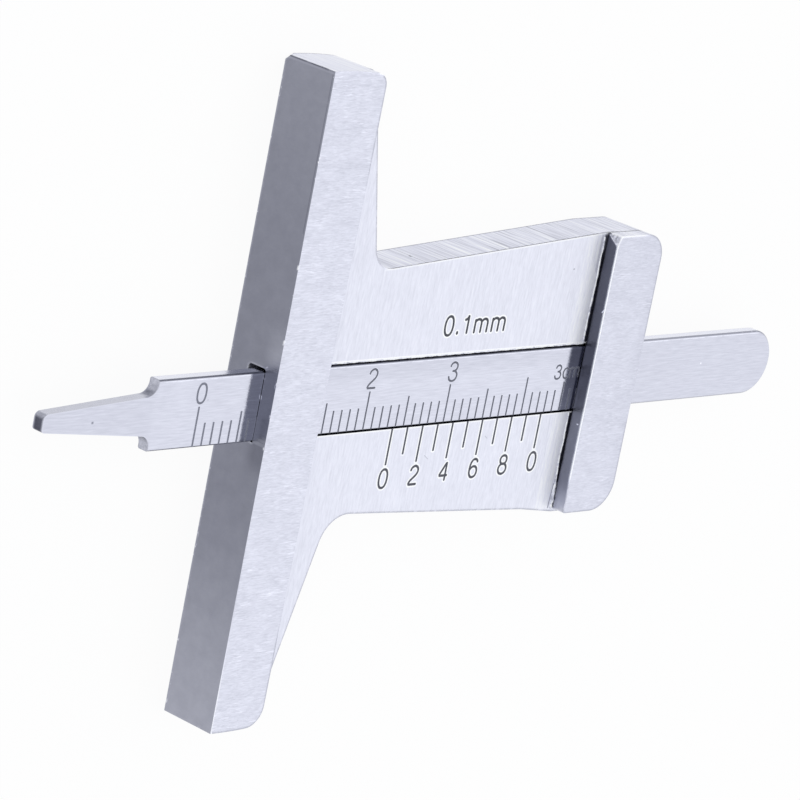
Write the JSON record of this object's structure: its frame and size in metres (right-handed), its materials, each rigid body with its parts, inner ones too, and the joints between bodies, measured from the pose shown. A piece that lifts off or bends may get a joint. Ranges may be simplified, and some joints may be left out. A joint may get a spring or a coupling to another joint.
{
  "type": "vernier depth gauge",
  "caption": "Small T-shaped steel depth gauge: a narrow rule with a tapered tip slides through a flat base and is read against a vernier scale.",
  "frame": {"origin": "on the datum face, in line with the middle of the rule, at the level of the gauge's back", "axes": "+X runs along the rule from the datum face to its tail, +Y along the base, +Z out of the side that carries the scales"},
  "size_m": [0.0906, 0.0566, 0.0056],
  "materials": {
    "body_steel": "brushed, with a lapped datum face",
    "rule_steel": "brushed lengthwise",
    "spring_steel": "plain rolled spring steel",
    "scale_marks": "dark filling in engraved lines and figures"
  },
  "bodies": {
    "gauge_body": {"frame": "body_steel", "bridge": "body_steel", "friction_spring": "spring_steel"},
    "rule": {"depth_rule": "rule_steel"}
  },
  "joints": [
    {"name": "rule_slide", "type": "slide", "parent": "gauge_body", "child": "rule", "axis": [1, 0, 0], "range_m": [-0.0062, 0.0238]}
  ]
}
